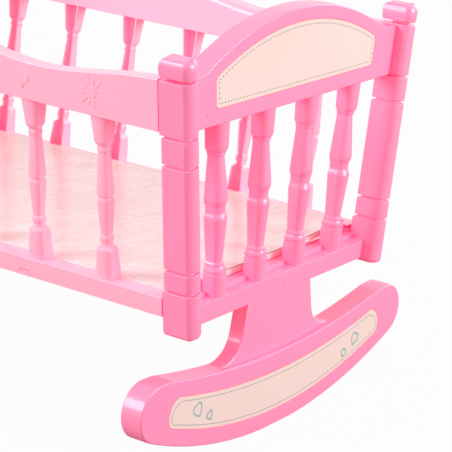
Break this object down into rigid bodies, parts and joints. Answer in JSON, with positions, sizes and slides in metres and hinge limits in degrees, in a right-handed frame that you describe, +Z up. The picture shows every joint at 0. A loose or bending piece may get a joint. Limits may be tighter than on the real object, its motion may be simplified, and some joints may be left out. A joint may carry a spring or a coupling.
{
  "type": "doll cradle",
  "caption": "Doll's rocking cradle in moulded plastic: splayed slatted crib with arched headers and turned-look posts, a flat floor board, and a curved rocker on a pedestal under each end.",
  "frame": {"origin": "on the floor under the middle of the crib, at the level of the rockers' lowest line", "axes": "+X along the crib from end to end, +Y across it from side to side, +Z up"},
  "size_m": [0.4952, 0.364, 0.337],
  "materials": {
    "pink_plastic": "glossy moulded pink plastic",
    "peach_plate": "satin pale peach plate with a fine printed border",
    "white_board": "glossy off-white laminated board"
  },
  "bodies": {
    "root": {"end_panel_right": "pink_plastic", "end_panel_left": "pink_plastic", "rocker_right": "pink_plastic", "rocker_left": "pink_plastic", "cross_bar_right": "pink_plastic", "cross_bar_left": "pink_plastic", "side_panel_front": "pink_plastic", "side_panel_back": "pink_plastic", "header_plate_right": "peach_plate", "header_plate_left": "peach_plate", "rocker_plate_right": "peach_plate", "rocker_plate_left": "peach_plate", "floor_board": "white_board"}
  },
  "joints": []
}
